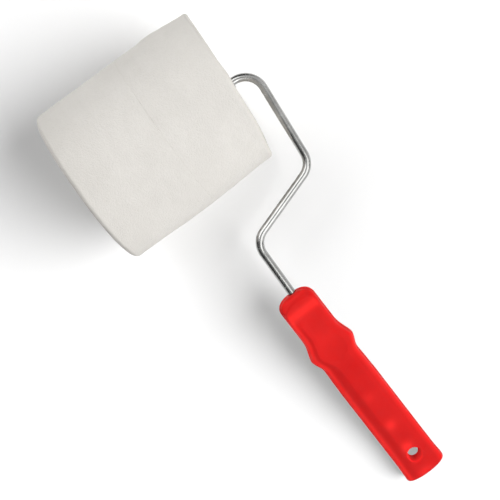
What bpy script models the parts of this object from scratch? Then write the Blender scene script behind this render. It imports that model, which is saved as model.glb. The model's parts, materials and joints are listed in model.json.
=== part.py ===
"""Seam roller: a foam press roller on a cranked wire frame with a moulded handle.

Metres, +Z up. The tool lies at rest on its roller and on the tail of its handle. The roller's axle runs
along +X and the handle reaches toward -Y, so the flat tool plane slopes down from the axle to the tail.
The origin is at the middle of the footprint, on the floor.
"""

from math import asin, cos, pi, radians, sin, tan

import bmesh
import bpy
from mathutils import Matrix, Vector

# Fits
FIT_GAP = 0.0003
RUNNING_CLEARANCE = 0.00008

# Foam roller: two rings glued face to face on a core tube
FOAM_RADIUS = 0.048
FOAM_LENGTH = 0.100
FOAM_EDGE_RADIUS = 0.003
FOAM_JOINT_X = 0.004
CORE_OUTER_RADIUS = 0.013
CORE_WALL = 0.0015
CORE_LENGTH = 0.0966

# End plugs and bushes
PLUG_FLANGE_THICKNESS = 0.0014
PLUG_DEPTH = 0.014
PLUG_WALL = 0.0014
PLUG_POCKET_DEPTH = 0.009
PLUG_RIB_THICKNESS = 0.0012
PLUG_RIB_COUNT = 6
BUSH_WALL = 0.0012
BUSH_FLANGE_RADIUS = 0.0050
BUSH_FLANGE_THICKNESS = 0.0010
BUSH_LENGTH = 0.0118
BUSH_RECESS = 0.0011

# Wire frame: corners of its centre line in the tool plane, across and away from the roller
WIRE_RADIUS = 0.0024
AXLE_TIP_X = -0.0545
CRANK_CORNER = (0.0643, 0.0)
ELBOW_CORNER = (0.0600, 0.0640)
NECK_CORNER = (0.0083, 0.0818)
CRANK_BEND_RADIUS = 0.0118
ELBOW_BEND_RADIUS = 0.0115
TANG_DEPTH = 0.062
WIRE_CHAMFER = 0.0006

# Axle hardware
STOP_COLLAR_RADIUS = 0.0037
STOP_COLLAR_THICKNESS = 0.0009
WASHER_RADIUS = 0.0046
WASHER_THICKNESS = 0.0007
CAP_RADIUS = 0.0050
CAP_LENGTH = 0.0048
CAP_WALL = 0.0006

# Handle: distances run from its front end to its tail
HANDLE_FRONT = (0.0074, 0.1180)
HANDLE_YAW = radians(1.85)
HANDLE_LENGTH = 0.1341
LOBE_HALF_WIDTH = 0.0117
TAIL_HALF_WIDTH = 0.0125
WIDENING_START = 0.030
WIDENING_END = 0.070
TAIL_FLARE = 0.0004
TAIL_FLARE_START = 0.122
WING_HEIGHT = 0.0031
WING_START = 0.0254
WING_PEAK = 0.0399
WING_PEAK_MARGIN = 0.001
WING_END = 0.0488
WING_RISE_POWER = 1.3
NOSE_LENGTH = 0.0065
NOSE_SHARPNESS = 2.5
NOSE_ROUNDING = 0.0048
RIDGE_START = 0.0080
RIDGE_PEAK = 0.0142
RIDGE_HALF_THICKNESS = 0.0084
NOSE_HALF_THICKNESS = 0.0070
GRIP_HALF_THICKNESS = 0.0078
TAIL_HALF_THICKNESS = 0.00525
TAPER_START = 0.060
TAIL_FLAT_START = 0.108
THUMB_REST_FLOOR_START = 0.0200
THUMB_REST_FLOOR_END = 0.0440
THUMB_REST_END = 0.0500
THUMB_REST_DEPTH = 0.0007
THUMB_REST_MARGIN = 0.0036
END_SAGITTA = 0.0026
END_BEND_START = 0.120
EDGE_RADIUS = 0.0020
CORNER_SHARE = 0.60
SOCKET_DEPTH = TANG_DEPTH + 0.003
CUTTER_OVERSHOOT = 0.006
HANG_HOLE_DISTANCE = 0.1203
HANG_HOLE_RADIUS = 0.0040
HANG_HOLE_CHAMFER = 0.0007

# Loops of the handle's skin: first distance, spacing and count
LOBE_LOOPS = (0.0078, 0.0014, 13)
WING_LOOPS = (WING_START, 0.0016, 16)
GRIP_LOOPS = (0.054, 0.0075, 9)
TAIL_LOOPS = (0.120, 0.005, 3)

# Facet counts
ROLLER_STEPS = 64
CORE_STEPS = 48
PLUG_STEPS = 40
SMALL_STEPS = 32
WIRE_STEPS = 20
BEND_STEPS = 9
RIM_STEPS = 4

HANDLE_END_REACH = HANDLE_FRONT[1] + HANDLE_LENGTH * cos(HANDLE_YAW)
TOOL_SLOPE = asin((FOAM_RADIUS - TAIL_HALF_THICKNESS) / (HANDLE_END_REACH - EDGE_RADIUS))


# Scene and materials


def clear_scene():
    for item in list(bpy.data.objects):
        bpy.data.objects.remove(item, do_unlink=True)


def make_material(name, colour, roughness, metallic):
    material = bpy.data.materials.new(name)
    material.use_nodes = True
    shader = material.node_tree.nodes["Principled BSDF"]
    shader.inputs["Base Color"].default_value = (*colour, 1.0)
    shader.inputs["Roughness"].default_value = roughness
    shader.inputs["Metallic"].default_value = metallic
    return material


def make_empty(name, parent=None, location=(0.0, 0.0, 0.0), tilt=0.0):
    empty = bpy.data.objects.new(name, None)
    bpy.context.collection.objects.link(empty)
    empty.parent = parent
    empty.location = location
    empty.rotation_euler = (tilt, 0.0, 0.0)
    return empty


def finish_part(name, mesh_data, material, parent, sharp_angle=radians(35)):
    bmesh.ops.remove_doubles(mesh_data, verts=mesh_data.verts, dist=1e-7)
    bmesh.ops.recalc_face_normals(mesh_data, faces=mesh_data.faces)
    mesh = bpy.data.meshes.new(name)
    mesh_data.to_mesh(mesh)
    mesh_data.free()
    mesh.shade_smooth()
    mesh.set_sharp_from_angle(angle=sharp_angle)
    mesh.materials.append(material)
    part = bpy.data.objects.new(name, mesh)
    bpy.context.collection.objects.link(part)
    part.parent = parent
    return part


# Outline helpers


def smooth_step(value, low, high):
    share = min(max((value - low) / (high - low), 0.0), 1.0)
    return share * share * (3.0 - 2.0 * share)


def arc(centre, radius, start, end, steps):
    """Points (along, out) on an arc; angles in degrees from the +along direction."""
    points = []
    for index in range(steps + 1):
        angle = radians(start + (end - start) * index / steps)
        points.append((centre[0] + radius * cos(angle), centre[1] + radius * sin(angle)))
    return points


def turned_bmesh(profile, steps):
    """Revolve a closed outline of (x, radius) points about the X axis."""
    mesh_data = bmesh.new()
    corners = [mesh_data.verts.new((x, 0.0, -radius)) for x, radius in profile]
    edges = []
    for index, corner in enumerate(corners):
        following = (index + 1) % len(corners)
        if profile[index][1] > 0.0 or profile[following][1] > 0.0:
            edges.append(mesh_data.edges.new((corner, corners[following])))
    bmesh.ops.spin(
        mesh_data, geom=corners + edges, cent=(0, 0, 0), axis=(1, 0, 0), angle=2 * pi, steps=steps,
        use_merge=True, use_duplicate=False,
    )
    return mesh_data


def turned_part(name, profile, steps, material, parent):
    return finish_part(name, turned_bmesh(profile, steps), material, parent)


def mirrored(profile):
    return [(-x, radius) for x, radius in profile]


# Roller


def foam_profile(joint_x, end_x):
    """One foam ring from the glued joint to its outer end, whose rim is rounded."""
    side = 1.0 if end_x > joint_x else -1.0
    bore = CORE_OUTER_RADIUS + FIT_GAP
    start = joint_x + side * FIT_GAP / 2
    rim_centre = (abs(end_x) - FOAM_EDGE_RADIUS, FOAM_RADIUS - FOAM_EDGE_RADIUS)
    rim = arc(rim_centre, FOAM_EDGE_RADIUS, 90, 0, RIM_STEPS)
    outline = [(start, bore), (start, FOAM_RADIUS)]
    outline += [(side * x, radius) for x, radius in rim]
    outline.append((end_x, bore))
    return outline


def add_foam(parent, material):
    half = FOAM_LENGTH / 2
    turned_part("foam_ring_inner", foam_profile(FOAM_JOINT_X, half), ROLLER_STEPS, material, parent)
    turned_part("foam_ring_outer", foam_profile(FOAM_JOINT_X, -half), ROLLER_STEPS, material, parent)


def add_core_tube(parent, material):
    half = CORE_LENGTH / 2
    bore = CORE_OUTER_RADIUS - CORE_WALL
    outline = [(-half, bore), (-half, CORE_OUTER_RADIUS), (half, CORE_OUTER_RADIUS), (half, bore)]
    turned_part("core_tube", outline, CORE_STEPS, material, parent)


def bush_hub_radius():
    return WIRE_RADIUS + RUNNING_CLEARANCE + BUSH_WALL + FIT_GAP


def plug_profile():
    """Cup-shaped plug at the +X end: a flange flush with the foam, a wall in the tube and a hub."""
    face = FOAM_LENGTH / 2
    bottom = face - PLUG_DEPTH
    spigot = CORE_OUTER_RADIUS - CORE_WALL - FIT_GAP
    flange_back = face - PLUG_FLANGE_THICKNESS
    hub_bore = bush_hub_radius()
    recess = BUSH_FLANGE_RADIUS + FIT_GAP
    hub_face = face - BUSH_RECESS - BUSH_FLANGE_THICKNESS - FIT_GAP
    pocket_floor = face - PLUG_POCKET_DEPTH
    return [
        (bottom, hub_bore),
        (bottom, spigot),
        (flange_back, spigot),
        (flange_back, CORE_OUTER_RADIUS),
        (face, CORE_OUTER_RADIUS),
        (face, spigot - PLUG_WALL),
        (pocket_floor, spigot - PLUG_WALL),
        (pocket_floor, recess + PLUG_WALL),
        (face - FIT_GAP, recess + PLUG_WALL),
        (face - FIT_GAP, recess),
        (hub_face, recess),
        (hub_face, hub_bore),
    ]


def add_ribs(mesh_data):
    """Radial ribs across the plug's pocket, from the hub to the wall."""
    inner = BUSH_FLANGE_RADIUS + FIT_GAP + PLUG_WALL / 2
    outer = CORE_OUTER_RADIUS - CORE_WALL - FIT_GAP - PLUG_WALL / 2
    floor = FOAM_LENGTH / 2 - PLUG_POCKET_DEPTH - PLUG_WALL / 2
    top = FOAM_LENGTH / 2 - 2 * PLUG_FLANGE_THICKNESS
    size = Matrix.Diagonal((top - floor, PLUG_RIB_THICKNESS, outer - inner, 1.0))
    place = Matrix.Translation(((top + floor) / 2, 0.0, (inner + outer) / 2))
    for index in range(PLUG_RIB_COUNT):
        turn = Matrix.Rotation(2 * pi * index / PLUG_RIB_COUNT, 4, "X")
        bmesh.ops.create_cube(mesh_data, size=1.0, matrix=turn @ place @ size)


def add_plug(name, parent, material, side):
    profile = plug_profile() if side > 0 else mirrored(plug_profile())
    plug = turned_part(name, profile, PLUG_STEPS, material, parent)
    mesh_data = bmesh.new()
    add_ribs(mesh_data)
    if side < 0:
        bmesh.ops.transform(mesh_data, matrix=Matrix.Rotation(pi, 4, "Z"), verts=mesh_data.verts)
    ribs = finish_part(name + "_rib_cutter", mesh_data, material, parent)
    hide_helper(ribs)
    add_boolean(plug, ribs, "UNION")


def add_bush(name, parent, material, side):
    face = FOAM_LENGTH / 2 - BUSH_RECESS
    bore = WIRE_RADIUS + RUNNING_CLEARANCE
    sleeve = bore + BUSH_WALL
    back = face - BUSH_FLANGE_THICKNESS
    outline = [
        (face - BUSH_LENGTH, bore),
        (face - BUSH_LENGTH, sleeve),
        (back, sleeve),
        (back, BUSH_FLANGE_RADIUS),
        (face, BUSH_FLANGE_RADIUS),
        (face, bore),
    ]
    turned_part(name, outline if side > 0 else mirrored(outline), SMALL_STEPS, material, parent)


def ring_profile(start, thickness, outer_radius, bore_radius):
    return [
        (start, bore_radius),
        (start, outer_radius),
        (start + thickness, outer_radius),
        (start + thickness, bore_radius),
    ]


def add_washers(parent, material):
    """A thrust washer in each plug's recess, between the bush and the collar or the cap."""
    start = FOAM_LENGTH / 2 - BUSH_RECESS + FIT_GAP
    outline = ring_profile(start, WASHER_THICKNESS, WASHER_RADIUS, WIRE_RADIUS + RUNNING_CLEARANCE)
    turned_part("thrust_washer_inner", outline, SMALL_STEPS, material, parent)
    turned_part("thrust_washer_outer", mirrored(outline), SMALL_STEPS, material, parent)


def add_roller(axle, materials):
    add_foam(axle, materials["foam"])
    add_core_tube(axle, materials["core"])
    for end, side in (("inner", 1), ("outer", -1)):
        add_plug("end_plug_" + end, axle, materials["plug"], side)
        add_bush("bush_" + end, axle, materials["bronze"], side)
    add_washers(axle, materials["nylon"])


# Wire frame


def rounded_path(corners, bend_radii):
    """Centre-line points of a rod with a round bend at each inner corner."""
    points = [Vector(corners[0])]
    for index, bend_radius in enumerate(bend_radii, start=1):
        corner = Vector(corners[index])
        toward = (corner - Vector(corners[index - 1])).normalized()
        away = (Vector(corners[index + 1]) - corner).normalized()
        turn = toward.angle(away)
        start = corner - toward * bend_radius * tan(turn / 2)
        across = (away - toward * toward.dot(away)).normalized()
        for step in range(BEND_STEPS + 1):
            angle = turn * step / BEND_STEPS
            points.append(start + toward * bend_radius * sin(angle) + across * bend_radius * (1 - cos(angle)))
    points.append(Vector(corners[-1]))
    return points


def wire_stations():
    """Centre, direction and radius of each ring along the rod, with chamfered tips."""
    tang_tip = (NECK_CORNER[0], HANDLE_FRONT[1] + TANG_DEPTH)
    corners = [(AXLE_TIP_X, 0.0), CRANK_CORNER, ELBOW_CORNER, NECK_CORNER, tang_tip]
    corners = [(across, -reach, 0.0) for across, reach in corners]
    points = rounded_path(corners, (CRANK_BEND_RADIUS, ELBOW_BEND_RADIUS, ELBOW_BEND_RADIUS))
    first = (points[1] - points[0]).normalized()
    last = (points[-1] - points[-2]).normalized()
    tip_radius = WIRE_RADIUS - WIRE_CHAMFER
    stations = [(points[0], first, tip_radius), (points[0] + first * WIRE_CHAMFER, first, WIRE_RADIUS)]
    for index in range(1, len(points) - 1):
        before = (points[index] - points[index - 1]).normalized()
        after = (points[index + 1] - points[index]).normalized()
        stations.append((points[index], (before + after).normalized(), WIRE_RADIUS))
    stations.append((points[-1] - last * WIRE_CHAMFER, last, WIRE_RADIUS))
    stations.append((points[-1], last, tip_radius))
    return stations


def add_loops(mesh_data, loops):
    """Join closed loops of points into one skin. Each end is a ladder of faces, so it may be curved."""
    rings = [[mesh_data.verts.new(point) for point in loop] for loop in loops]
    count = len(rings[0])
    for ring, following in zip(rings, rings[1:]):
        for index in range(count):
            after = (index + 1) % count
            mesh_data.faces.new((ring[index], ring[after], following[after], following[index]))
    for ring in (rings[0], rings[-1]):
        for index in range(count // 2 - 1):
            opposite = count - 1 - index
            mesh_data.faces.new((ring[index], ring[index + 1], ring[opposite - 1], ring[opposite]))


def add_wire_frame(parent, material):
    up = Vector((0.0, 0.0, 1.0))
    loops = []
    for centre, direction, radius in wire_stations():
        side = direction.cross(up)
        loop = []
        for step in range(WIRE_STEPS):
            angle = 2 * pi * step / WIRE_STEPS
            loop.append(centre + (side * cos(angle) + up * sin(angle)) * radius)
        loops.append(loop)
    mesh_data = bmesh.new()
    add_loops(mesh_data, loops)
    finish_part("wire_frame", mesh_data, material, parent)


# Axle hardware


def hardware_start():
    return FOAM_LENGTH / 2 - BUSH_RECESS + WASHER_THICKNESS + 2 * FIT_GAP


def add_stop_collar(parent, material):
    outline = ring_profile(hardware_start(), STOP_COLLAR_THICKNESS, STOP_COLLAR_RADIUS, WIRE_RADIUS + FIT_GAP)
    turned_part("stop_collar", outline, SMALL_STEPS, material, parent)


def add_axle_cap(parent, material):
    """Push-on cap over the free tip of the axle: an open cup with a domed end."""
    rim = hardware_start()
    bore = WIRE_RADIUS + FIT_GAP
    shell = bore + 2 * CAP_WALL
    tip = -AXLE_TIP_X + FIT_GAP
    dome_start = rim + CAP_LENGTH - shell / 2
    outline = [(rim, bore), (rim, CAP_RADIUS), (rim + CAP_WALL, CAP_RADIUS), (rim + 2 * CAP_WALL, shell)]
    for step in range(RIM_STEPS + 1):
        angle = radians(90 * step / RIM_STEPS)
        outline.append((dome_start + shell / 2 * sin(angle), shell / 2 + shell / 2 * cos(angle)))
    outline += [(rim + CAP_LENGTH, 0.0), (tip, 0.0), (tip, bore)]
    turned_part("axle_cap", mirrored(outline), SMALL_STEPS, material, parent)


# Handle


def nose_share(distance, length):
    """Share of the full size at a distance behind the front end."""
    if distance >= length:
        return 1.0
    return (1.0 - (1.0 - distance / length) ** NOSE_SHARPNESS) ** (1.0 / NOSE_SHARPNESS)


def handle_half_width(distance):
    widening = smooth_step(distance, WIDENING_START, WIDENING_END)
    width = LOBE_HALF_WIDTH + (TAIL_HALF_WIDTH - LOBE_HALF_WIDTH) * widening
    width += TAIL_FLARE * smooth_step(distance, TAIL_FLARE_START, HANDLE_LENGTH)
    rise = smooth_step(distance, WING_START, WING_PEAK + WING_PEAK_MARGIN)
    fall = 1.0 - smooth_step(distance, WING_PEAK - WING_PEAK_MARGIN, WING_END)
    width += WING_HEIGHT * rise ** WING_RISE_POWER * fall
    return width * nose_share(distance, NOSE_LENGTH)


def handle_top(distance):
    """Height of the top above the tool plane, before the thumb rest is sunk in."""
    ridge = smooth_step(distance, RIDGE_START, RIDGE_PEAK)
    height = NOSE_HALF_THICKNESS + (RIDGE_HALF_THICKNESS - NOSE_HALF_THICKNESS) * ridge
    height += (GRIP_HALF_THICKNESS - RIDGE_HALF_THICKNESS) * smooth_step(distance, RIDGE_PEAK, WING_END)
    height += (TAIL_HALF_THICKNESS - GRIP_HALF_THICKNESS) * smooth_step(distance, TAPER_START, TAIL_FLAT_START)
    return height * nose_share(distance, NOSE_ROUNDING)


def handle_bottom(distance):
    swell = smooth_step(distance, 0.0, WING_PEAK)
    height = NOSE_HALF_THICKNESS + (GRIP_HALF_THICKNESS - NOSE_HALF_THICKNESS) * swell
    height += (TAIL_HALF_THICKNESS - GRIP_HALF_THICKNESS) * smooth_step(distance, TAPER_START, TAIL_FLAT_START)
    return -height * nose_share(distance, NOSE_ROUNDING)


def thumb_rest(across, distance, half_width):
    """Depth of the dished thumb rest on top of the lobe."""
    along = smooth_step(distance, RIDGE_PEAK, THUMB_REST_FLOOR_START)
    along *= 1.0 - smooth_step(distance, THUMB_REST_FLOOR_END, THUMB_REST_END)
    reach = half_width - THUMB_REST_MARGIN
    side = max(0.0, 1.0 - (across / reach) ** 2)
    return THUMB_REST_DEPTH * along * side ** 0.5


def section_outline(half_width, top, bottom, flat_steps=8, corner_steps=5):
    """Rounded rectangle of (across, height) points, anticlockwise from the left side's lower end."""
    half_height = (top - bottom) / 2
    radius = min(CORNER_SHARE * half_height, 0.9 * half_width)
    points = []
    corners = (
        (-half_width + radius, bottom + radius, 180),
        (half_width - radius, bottom + radius, 270),
        (half_width - radius, top - radius, 0),
        (-half_width + radius, top - radius, 90),
    )
    for index, (across, height, start) in enumerate(corners):
        points += arc((across, height), radius, start, start + 90, corner_steps)
        if index in (0, 2):
            following = corners[index + 1][0]
            level = bottom if index == 0 else top
            for step in range(1, flat_steps):
                points.append((across + (following - across) * step / flat_steps, level))
    return points


def handle_section(distance, inset=0.0):
    """One closed loop across the handle. Near the tail the loops curve like its end."""
    half_width = handle_half_width(distance)
    top = handle_top(distance)
    bottom = handle_bottom(distance)
    bend = END_SAGITTA * smooth_step(distance, END_BEND_START, HANDLE_LENGTH)
    loop = []
    for across, height in section_outline(half_width - inset, top - inset, bottom + inset):
        level = height
        if height > 0.5 * top:
            level -= thumb_rest(across, distance, half_width)
        back = bend * (across / half_width) ** 2
        loop.append(Vector((across, back - distance, level)))
    return loop


def handle_distances():
    """Loop positions: close together at the nose and the wings, wider along the grip."""
    distances = [NOSE_LENGTH * (1.0 - cos(radians(angle))) for angle in (10, 22, 34, 46, 58, 70, 82)]
    for first, spacing, count in (LOBE_LOOPS, WING_LOOPS, GRIP_LOOPS, TAIL_LOOPS):
        distances += [first + spacing * step for step in range(count)]
    return distances


def add_handle(parent, material):
    loops = [handle_section(distance) for distance in handle_distances()]
    for angle in (0, 30, 60, 80):
        inset = EDGE_RADIUS * (1.0 - cos(radians(angle)))
        distance = HANDLE_LENGTH - EDGE_RADIUS * (1.0 - sin(radians(angle)))
        loops.append(handle_section(distance, inset))
    mesh_data = bmesh.new()
    add_loops(mesh_data, loops)
    handle = finish_part("handle", mesh_data, material, parent)
    handle.location = (HANDLE_FRONT[0], -HANDLE_FRONT[1], 0.0)
    handle.rotation_euler = (0.0, 0.0, HANDLE_YAW)
    add_boolean(handle, add_socket_cutter(parent, material), "DIFFERENCE")
    add_boolean(handle, add_hole_cutter(handle, material), "DIFFERENCE")


def hide_helper(helper):
    helper.hide_render = True
    helper.display_type = "WIRE"


def add_boolean(part, cutter, operation):
    modifier = part.modifiers.new(cutter.name, "BOOLEAN")
    modifier.operation = operation
    modifier.object = cutter
    modifier.solver = "EXACT"


def add_socket_cutter(parent, material):
    """Blind socket for the tang, in line with the wire's neck."""
    radius = WIRE_RADIUS + FIT_GAP
    front = -CUTTER_OVERSHOOT
    outline = [(front, 0.0), (front, radius), (SOCKET_DEPTH, radius), (SOCKET_DEPTH, 0.0)]
    mesh_data = turned_bmesh(outline, WIRE_STEPS)
    bmesh.ops.transform(mesh_data, matrix=Matrix.Rotation(-pi / 2, 4, "Z"), verts=mesh_data.verts)
    cutter = finish_part("socket_cutter", mesh_data, material, parent)
    cutter.location = (NECK_CORNER[0], -HANDLE_FRONT[1], 0.0)
    hide_helper(cutter)
    return cutter


def add_hole_cutter(handle, material):
    """Hanging hole through the tail, chamfered at both faces."""
    face = TAIL_HALF_THICKNESS
    wide = HANG_HOLE_RADIUS + HANG_HOLE_CHAMFER
    past = face + CUTTER_OVERSHOOT
    outline = [
        (-past, 0.0),
        (-past, wide),
        (-face, wide),
        (-face + HANG_HOLE_CHAMFER, HANG_HOLE_RADIUS),
        (face - HANG_HOLE_CHAMFER, HANG_HOLE_RADIUS),
        (face, wide),
        (past, wide),
        (past, 0.0),
    ]
    mesh_data = turned_bmesh(outline, SMALL_STEPS)
    bmesh.ops.transform(mesh_data, matrix=Matrix.Rotation(-pi / 2, 4, "Y"), verts=mesh_data.verts)
    cutter = finish_part("hanging_hole_cutter", mesh_data, material, handle)
    cutter.location = (0.0, -HANG_HOLE_DISTANCE, 0.0)
    hide_helper(cutter)
    return cutter


# Assembly


def stand_on_origin(tool):
    """Move the whole tool so that the middle of its footprint is at the origin."""
    bpy.context.view_layer.update()
    depsgraph = bpy.context.evaluated_depsgraph_get()
    points = []
    for item in bpy.data.objects:
        if item.type == "MESH" and not item.hide_render:
            evaluated = item.evaluated_get(depsgraph)
            points += [evaluated.matrix_world @ vertex.co for vertex in evaluated.data.vertices]
    lowest = [min(point[axis] for point in points) for axis in range(3)]
    highest = [max(point[axis] for point in points) for axis in range(3)]
    tool.location.x -= (lowest[0] + highest[0]) / 2
    tool.location.y -= (lowest[1] + highest[1]) / 2


def build_seam_roller():
    clear_scene()
    materials = {
        "foam": make_material("cream_foam", (0.80, 0.77, 0.73), 0.9, 0.0),
        "core": make_material("core_plastic", (0.62, 0.63, 0.62), 0.6, 0.0),
        "plug": make_material("plug_plastic", (0.66, 0.66, 0.64), 0.5, 0.0),
        "bronze": make_material("bush_bronze", (0.50, 0.33, 0.16), 0.4, 1.0),
        "nylon": make_material("washer_nylon", (0.78, 0.77, 0.72), 0.5, 0.0),
        "steel": make_material("plated_steel", (0.62, 0.62, 0.61), 0.2, 1.0),
        "red": make_material("red_plastic", (0.70, 0.02, 0.02), 0.35, 0.0),
    }
    tool = make_empty("tool")
    axle = make_empty("roller_axle", tool, (0.0, 0.0, FOAM_RADIUS))
    frame = make_empty("tool_plane", tool, (0.0, 0.0, FOAM_RADIUS), TOOL_SLOPE)
    add_roller(axle, materials)
    add_wire_frame(frame, materials["steel"])
    add_stop_collar(frame, materials["steel"])
    add_axle_cap(frame, materials["steel"])
    add_handle(frame, materials["red"])
    stand_on_origin(tool)


build_seam_roller()
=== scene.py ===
"""Looks of the seam roller: soft foam, plated steel wire and a moulded red handle.

Metres, +Z up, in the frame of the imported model. "Across" runs along the roller's axle, "reach" runs from
the axle down the sloping tool plane toward the handle's tail, and "height" stands square to that plane.
A pair of numbers that has no comment of its own is where a change starts and where it is complete.
"""

import json
from math import atan2, cos, exp, pi, radians, sin, tan

import bmesh
import bpy
from mathutils import Matrix, Vector, noise


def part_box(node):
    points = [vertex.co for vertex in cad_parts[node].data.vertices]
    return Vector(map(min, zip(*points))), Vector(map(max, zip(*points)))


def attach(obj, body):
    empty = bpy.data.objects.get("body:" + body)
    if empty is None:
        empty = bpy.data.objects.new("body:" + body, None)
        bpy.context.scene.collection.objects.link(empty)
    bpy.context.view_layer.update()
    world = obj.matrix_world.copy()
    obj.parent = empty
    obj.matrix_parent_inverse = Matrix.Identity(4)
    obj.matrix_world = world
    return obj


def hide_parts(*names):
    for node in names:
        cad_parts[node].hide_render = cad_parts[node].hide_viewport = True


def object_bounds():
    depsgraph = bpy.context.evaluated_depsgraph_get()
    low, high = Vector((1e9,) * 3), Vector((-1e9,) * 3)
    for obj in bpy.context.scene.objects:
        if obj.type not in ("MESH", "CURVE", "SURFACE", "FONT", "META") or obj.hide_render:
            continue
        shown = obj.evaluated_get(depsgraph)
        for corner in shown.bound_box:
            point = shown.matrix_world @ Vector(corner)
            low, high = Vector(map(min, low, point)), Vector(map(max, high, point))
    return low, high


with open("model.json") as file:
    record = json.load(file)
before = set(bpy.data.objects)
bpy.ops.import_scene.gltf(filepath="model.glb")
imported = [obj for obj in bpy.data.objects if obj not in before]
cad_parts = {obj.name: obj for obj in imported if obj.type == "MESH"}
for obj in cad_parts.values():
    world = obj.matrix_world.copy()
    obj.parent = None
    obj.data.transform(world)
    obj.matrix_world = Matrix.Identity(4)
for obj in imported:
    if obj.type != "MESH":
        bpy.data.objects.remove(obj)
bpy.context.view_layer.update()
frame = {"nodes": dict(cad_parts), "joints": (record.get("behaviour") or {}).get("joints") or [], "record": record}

# Places read from the frame

AXLE = Vector(frame["joints"][0]["pos_m"])
PLANE_NORMAL = Vector(frame["record"]["mounts"][0]["axis"])
FREE_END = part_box("foam_ring_outer")[0].x - AXLE.x
DRIVE_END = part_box("foam_ring_inner")[1].x - AXLE.x
JOINT_X = (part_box("foam_ring_outer")[1].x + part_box("foam_ring_inner")[0].x) / 2 - AXLE.x
FOAM_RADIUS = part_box("foam_ring_inner")[1].z - AXLE.z
CORE_RADIUS = (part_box("core_tube")[1].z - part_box("core_tube")[0].z) / 2
WIRE_TIP_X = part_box("wire_frame")[0].x - AXLE.x
COLLAR_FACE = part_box("stop_collar")[0].x - AXLE.x
COLLAR_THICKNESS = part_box("stop_collar")[1].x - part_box("stop_collar")[0].x
COLLAR_RADIUS = (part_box("stop_collar")[1].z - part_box("stop_collar")[0].z) / 2
CAP_RIM_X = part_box("axle_cap")[1].x - AXLE.x
CAP_TIP_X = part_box("axle_cap")[0].x - AXLE.x

# Clearance between neighbouring pieces

GAP = 0.0003

# Foam: outline of the plain rings

FREE_EDGE_RADIUS = 0.0026
DRIVE_EDGE_RADIUS = 0.0020
FOAM_JOINT_RADIUS = 0.00010
FOAM_JOINT_GAP = 0.00001
JOINT_FACE_SHARE = 0.7
BORE_LIP = 0.0006
FOAM_STEPS = 288
FACE_STEPS = 20
FACE_MARGIN = 0.001
SKIN_SPACING = 0.0011
SKIN_MARGIN = 0.0008

# Foam: how the soft roller departs from the plain rings. A hill is its centre and its spread

END_SKEW = 0.0023
FREE_SHRINK = 0.0005
FREE_NEAR_SHRINK = 0.0009
DRIVE_BULGE = 0.0009
DRIVE_BULGE_HILL = (-0.08, 0.22)
DRIVE_HOLLOW = 0.0006
DRIVE_HOLLOW_HILL = (0.85, 0.12)
DRIVE_CORNER_SHRINK = 0.0020
DRIVE_CORNER = (0.60, 1.0)
FACE_CROWN_POWER = 8
FACE_CROWN = 0.0005
FAR_BULGE = 0.0005
FAR_BULGE_HILL = (80, 22)
FAR_BULGE_RISE = (0.0185, 0.0225)
FAR_BULGE_FALL = (0.0255, 0.034)
FAR_SAG = 0.0016
FAR_SAG_START = 0.0270
NEAR_SIDE = (-0.2, 1.0)
NEAR_SWELLING = 0.0010
NEAR_SAG = 0.0021
NEAR_SAG_START = -0.002

# Waves in the foam's skin: frequency per metre, shift of the noise and height
SKIN_WAVES = ((42.0, 0.0, 0.00030), (130.0, 3.1, 0.00014), (420.0, 0.0, 0.00005))

# Dents in the foam's skin: place and half length along the axle, angle and spread in degrees, depth
SKIN_DENTS = ((0.0125, 0.0013, 50, 7, 0.0005), (0.0345, 0.0030, 54, 6, 0.0004))

# Foam: darkening painted at both rims for dirt and painted shade, and a darkening toward the free end, in insets
# from each end and in distances toward the free end

DRIVE_RIM_DIRT_AND_SHADE = (0.0022, 0.0002)
FREE_RIM_DIRT_AND_SHADE = (0.0028, 0.0004)
FREE_RIM_SHARE = 0.36
FREE_END_DARKENING = (0.022, 0.044)
FREE_END_DARKENING_SHARE = 0.24

# Wire: corners of the centre line are (across, reach)

WIRE_RADIUS = 0.0024
CRANK_CORNER = (0.0643, 0.0)
ELBOW_CORNER = (0.0600, 0.0640)
NECK_CORNER = (0.0083, 0.0818)
CRANK_BEND_RADIUS = 0.0118
ELBOW_BEND_RADIUS = 0.0115
BEND_STEPS = 22
BEND_FULL_ANGLE = 0.05
BEND_FLATTENING = 0.035
BEND_WIDENING = 0.02
TANG_DEPTH = 0.062
WIRE_STEPS = 40
WIRE_SPACING = 0.004
WIRE_TIP_ROUNDING = 0.0006

# Handle: distances run from its front end, which is at (across, reach), to its tail

HANDLE_FRONT = (0.0074, 0.1180)
HANDLE_YAW = radians(1.85)
HANDLE_LENGTH = 0.1341
LOBE_HALF_WIDTH = 0.0117
TAIL_HALF_WIDTH = 0.01265
WIDENING = (0.030, 0.070)
TAIL_FLARE = 0.0004
TAIL_FLARE_START = 0.122
NOSE_LENGTH = 0.0065
NOSE_SHARPNESS = 2.5
NOSE_ROUNDING = 0.0034
NOSE_CORNER_LEFT = 1.10
NOSE_CORNER_RIGHT = 1.30
WING_START = 0.0254
WING_PEAK = 0.0399
WING_PEAK_MARGIN = 0.001
WING_END = 0.0488
WING_HEIGHT = 0.0031
WING_RISE_POWER = 1.3
NOSE_HALF_THICKNESS = 0.0070
RIDGE_HALF_THICKNESS = 0.0084
GRIP_HALF_THICKNESS = 0.0078
TAIL_HALF_THICKNESS = 0.00525
THINNING = (0.060, 0.108)
RIDGE_START = 0.0080
RIDGE_PEAK = 0.0142
EDGE_RADIUS = 0.0003
END_SAGITTA = 0.0024
END_BEND_START = 0.112

# Section: the powers of the across share and of the height in its rounded outline
TOP_POWERS = (16.0, 2.0)
BOTTOM_POWERS = (2.9, 2.9)
SECTION_STEPS = 60
RELIEF_FULL_LEVEL = 0.6

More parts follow.
